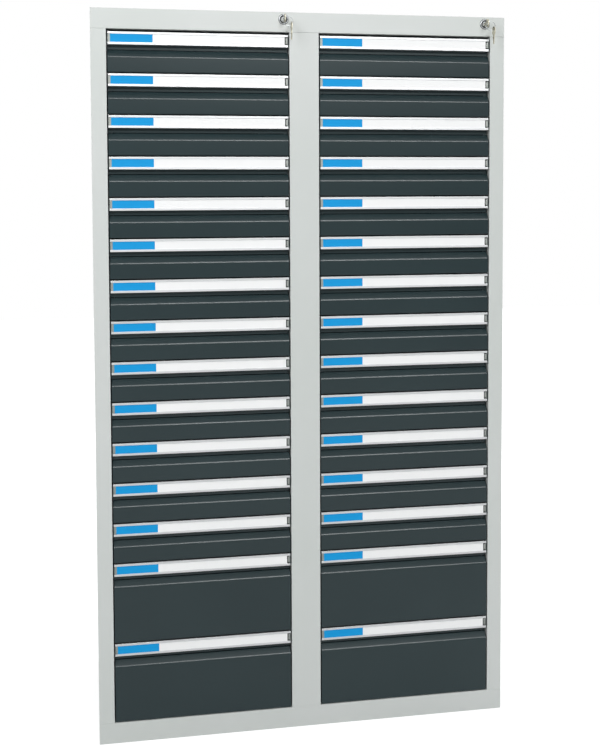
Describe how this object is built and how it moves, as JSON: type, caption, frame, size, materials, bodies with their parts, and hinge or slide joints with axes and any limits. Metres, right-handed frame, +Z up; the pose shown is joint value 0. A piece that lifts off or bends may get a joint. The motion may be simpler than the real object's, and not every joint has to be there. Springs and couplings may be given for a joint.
{
  "type": "drawer cabinet",
  "caption": "Tall steel cabinet with columns of sliding drawers, aluminium label strips over finger recesses, and a keyed cam lock over each column that lifts its locking bar.",
  "frame": {"origin": "middle of the base's footprint, on the floor", "axes": "+Z up, the drawer fronts face -Y, +X to the right seen from the front"},
  "size_m": [1.041, 0.532, 1.805],
  "materials": {
    "case_paint": "satin",
    "front_paint": "satin",
    "zinc_steel": "satin",
    "chrome": "polished"
  },
  "bodies": {
    "cabinet": {"left_side_panel": "case_paint", "right_side_panel": "case_paint", "top_panel": "case_paint", "base_panel": "case_paint", "back_panel": "case_paint", "centre_post": "case_paint", "left_rear_upright": "zinc_steel", "right_rear_upright": "zinc_steel", "centre_rear_upright": "zinc_steel", "left_outer_runners": "zinc_steel", "left_inner_runners": "zinc_steel", "right_inner_runners": "zinc_steel", "right_outer_runners": "zinc_steel", "lock_housings": "chrome", "lock_nuts": "zinc_steel", "bar_guides": "zinc_steel"},
    "left_lock": {"left_lock_plug": "chrome", "left_key": "chrome", "left_lock_cam": "zinc_steel", "left_cam_screw": "zinc_steel"},
    "left_bar": {"left_locking_bar": "zinc_steel"},
    "left_ring": {"left_key_ring": "chrome"},
    "left_spare": {"left_spare_key": "chrome"},
    "right_lock": {"right_lock_plug": "chrome", "right_key": "chrome", "right_lock_cam": "zinc_steel", "right_cam_screw": "zinc_steel"},
    "right_bar": {"right_locking_bar": "zinc_steel"},
    "right_ring": {"right_key_ring": "chrome"},
    "right_spare": {"right_spare_key": "chrome"},
    "left_drawer_01": {"left_drawer_01": "front_paint"},
    "left_drawer_02": {"left_drawer_02": "front_paint"},
    "left_drawer_03": {"left_drawer_03": "front_paint"},
    "left_drawer_04": {"left_drawer_04": "front_paint"},
    "left_drawer_05": {"left_drawer_05": "front_paint"},
    "left_drawer_06": {"left_drawer_06": "front_paint"},
    "left_drawer_07": {"left_drawer_07": "front_paint"},
    "left_drawer_08": {"left_drawer_08": "front_paint"},
    "left_drawer_09": {"left_drawer_09": "front_paint"},
    "left_drawer_10": {"left_drawer_10": "front_paint"},
    "left_drawer_11": {"left_drawer_11": "front_paint"},
    "left_drawer_12": {"left_drawer_12": "front_paint"},
    "left_drawer_13": {"left_drawer_13": "front_paint"},
    "left_drawer_14": {"left_drawer_14": "front_paint"},
    "left_drawer_15": {"left_drawer_15": "front_paint"},
    "right_drawer_01": {"right_drawer_01": "front_paint"},
    "right_drawer_02": {"right_drawer_02": "front_paint"},
    "right_drawer_03": {"right_drawer_03": "front_paint"},
    "right_drawer_04": {"right_drawer_04": "front_paint"},
    "right_drawer_05": {"right_drawer_05": "front_paint"},
    "right_drawer_06": {"right_drawer_06": "front_paint"},
    "right_drawer_07": {"right_drawer_07": "front_paint"},
    "right_drawer_08": {"right_drawer_08": "front_paint"},
    "right_drawer_09": {"right_drawer_09": "front_paint"},
    "right_drawer_10": {"right_drawer_10": "front_paint"},
    "right_drawer_11": {"right_drawer_11": "front_paint"},
    "right_drawer_12": {"right_drawer_12": "front_paint"},
    "right_drawer_13": {"right_drawer_13": "front_paint"},
    "right_drawer_14": {"right_drawer_14": "front_paint"},
    "right_drawer_15": {"right_drawer_15": "front_paint"}
  },
  "joints": [
    {"name": "left_lock_turn", "type": "hinge", "parent": "cabinet", "child": "left_lock", "pos_m": [-0.0515, -0.25, 1.7875], "axis": [0, -1, 0], "range_deg": [0, 90]},
    {"name": "left_ring_swing", "type": "hinge", "parent": "cabinet", "child": "left_ring", "pos_m": [-0.0515, -0.272, 1.7875], "axis": [-1, 0, 0], "range_deg": [-5, 15]},
    {"name": "left_spare_swing", "type": "hinge", "parent": "left_ring", "child": "left_spare", "pos_m": [-0.03524, -0.272, 1.77124], "axis": [-1, 0, 0], "range_deg": [-10, 30]},
    {"name": "right_lock_turn", "type": "hinge", "parent": "cabinet", "child": "right_lock", "pos_m": [0.4685, -0.25, 1.7875], "axis": [0, -1, 0], "range_deg": [0, 90]},
    {"name": "right_ring_swing", "type": "hinge", "parent": "cabinet", "child": "right_ring", "pos_m": [0.4685, -0.272, 1.7875], "axis": [-1, 0, 0], "range_deg": [-5, 15]},
    {"name": "right_spare_swing", "type": "hinge", "parent": "right_ring", "child": "right_spare", "pos_m": [0.48476, -0.272, 1.77124], "axis": [-1, 0, 0], "range_deg": [-10, 30]},
    {"name": "left_bar_lift", "type": "slide", "parent": "cabinet", "child": "left_bar", "axis": [0, 0, 1], "range_m": [0, 0.006]},
    {"name": "right_bar_lift", "type": "slide", "parent": "cabinet", "child": "right_bar", "axis": [0, 0, 1], "range_m": [0, 0.006]},
    {"name": "left_drawer_01_slide", "type": "slide", "parent": "cabinet", "child": "left_drawer_01", "axis": [0, -1, 0], "range_m": [0, 0.34]},
    {"name": "left_drawer_02_slide", "type": "slide", "parent": "cabinet", "child": "left_drawer_02", "axis": [0, -1, 0], "range_m": [0, 0.34]},
    {"name": "left_drawer_03_slide", "type": "slide", "parent": "cabinet", "child": "left_drawer_03", "axis": [0, -1, 0], "range_m": [0, 0.34]},
    {"name": "left_drawer_04_slide", "type": "slide", "parent": "cabinet", "child": "left_drawer_04", "axis": [0, -1, 0], "range_m": [0, 0.34]},
    {"name": "left_drawer_05_slide", "type": "slide", "parent": "cabinet", "child": "left_drawer_05", "axis": [0, -1, 0], "range_m": [0, 0.34]},
    {"name": "left_drawer_06_slide", "type": "slide", "parent": "cabinet", "child": "left_drawer_06", "axis": [0, -1, 0], "range_m": [0, 0.34]},
    {"name": "left_drawer_07_slide", "type": "slide", "parent": "cabinet", "child": "left_drawer_07", "axis": [0, -1, 0], "range_m": [0, 0.34]},
    {"name": "left_drawer_08_slide", "type": "slide", "parent": "cabinet", "child": "left_drawer_08", "axis": [0, -1, 0], "range_m": [0, 0.34]},
    {"name": "left_drawer_09_slide", "type": "slide", "parent": "cabinet", "child": "left_drawer_09", "axis": [0, -1, 0], "range_m": [0, 0.34]},
    {"name": "left_drawer_10_slide", "type": "slide", "parent": "cabinet", "child": "left_drawer_10", "axis": [0, -1, 0], "range_m": [0, 0.34]},
    {"name": "left_drawer_11_slide", "type": "slide", "parent": "cabinet", "child": "left_drawer_11", "axis": [0, -1, 0], "range_m": [0, 0.34]},
    {"name": "left_drawer_12_slide", "type": "slide", "parent": "cabinet", "child": "left_drawer_12", "axis": [0, -1, 0], "range_m": [0, 0.34]},
    {"name": "left_drawer_13_slide", "type": "slide", "parent": "cabinet", "child": "left_drawer_13", "axis": [0, -1, 0], "range_m": [0, 0.34]},
    {"name": "left_drawer_14_slide", "type": "slide", "parent": "cabinet", "child": "left_drawer_14", "axis": [0, -1, 0], "range_m": [0, 0.34]},
    {"name": "left_drawer_15_slide", "type": "slide", "parent": "cabinet", "child": "left_drawer_15", "axis": [0, -1, 0], "range_m": [0, 0.34]},
    {"name": "right_drawer_01_slide", "type": "slide", "parent": "cabinet", "child": "right_drawer_01", "axis": [0, -1, 0], "range_m": [0, 0.34]},
    {"name": "right_drawer_02_slide", "type": "slide", "parent": "cabinet", "child": "right_drawer_02", "axis": [0, -1, 0], "range_m": [0, 0.34]},
    {"name": "right_drawer_03_slide", "type": "slide", "parent": "cabinet", "child": "right_drawer_03", "axis": [0, -1, 0], "range_m": [0, 0.34]},
    {"name": "right_drawer_04_slide", "type": "slide", "parent": "cabinet", "child": "right_drawer_04", "axis": [0, -1, 0], "range_m": [0, 0.34]},
    {"name": "right_drawer_05_slide", "type": "slide", "parent": "cabinet", "child": "right_drawer_05", "axis": [0, -1, 0], "range_m": [0, 0.34]},
    {"name": "right_drawer_06_slide", "type": "slide", "parent": "cabinet", "child": "right_drawer_06", "axis": [0, -1, 0], "range_m": [0, 0.34]},
    {"name": "right_drawer_07_slide", "type": "slide", "parent": "cabinet", "child": "right_drawer_07", "axis": [0, -1, 0], "range_m": [0, 0.34]},
    {"name": "right_drawer_08_slide", "type": "slide", "parent": "cabinet", "child": "right_drawer_08", "axis": [0, -1, 0], "range_m": [0, 0.34]},
    {"name": "right_drawer_09_slide", "type": "slide", "parent": "cabinet", "child": "right_drawer_09", "axis": [0, -1, 0], "range_m": [0, 0.34]},
    {"name": "right_drawer_10_slide", "type": "slide", "parent": "cabinet", "child": "right_drawer_10", "axis": [0, -1, 0], "range_m": [0, 0.34]},
    {"name": "right_drawer_11_slide", "type": "slide", "parent": "cabinet", "child": "right_drawer_11", "axis": [0, -1, 0], "range_m": [0, 0.34]},
    {"name": "right_drawer_12_slide", "type": "slide", "parent": "cabinet", "child": "right_drawer_12", "axis": [0, -1, 0], "range_m": [0, 0.34]},
    {"name": "right_drawer_13_slide", "type": "slide", "parent": "cabinet", "child": "right_drawer_13", "axis": [0, -1, 0], "range_m": [0, 0.34]},
    {"name": "right_drawer_14_slide", "type": "slide", "parent": "cabinet", "child": "right_drawer_14", "axis": [0, -1, 0], "range_m": [0, 0.34]},
    {"name": "right_drawer_15_slide", "type": "slide", "parent": "cabinet", "child": "right_drawer_15", "axis": [0, -1, 0], "range_m": [0, 0.34]}
  ],
  "couplings": [
    {"joint": "left_lock_turn", "follows": "left_bar_lift", "rad_per_m": 261.8},
    {"joint": "right_lock_turn", "follows": "right_bar_lift", "rad_per_m": 261.8}
  ]
}
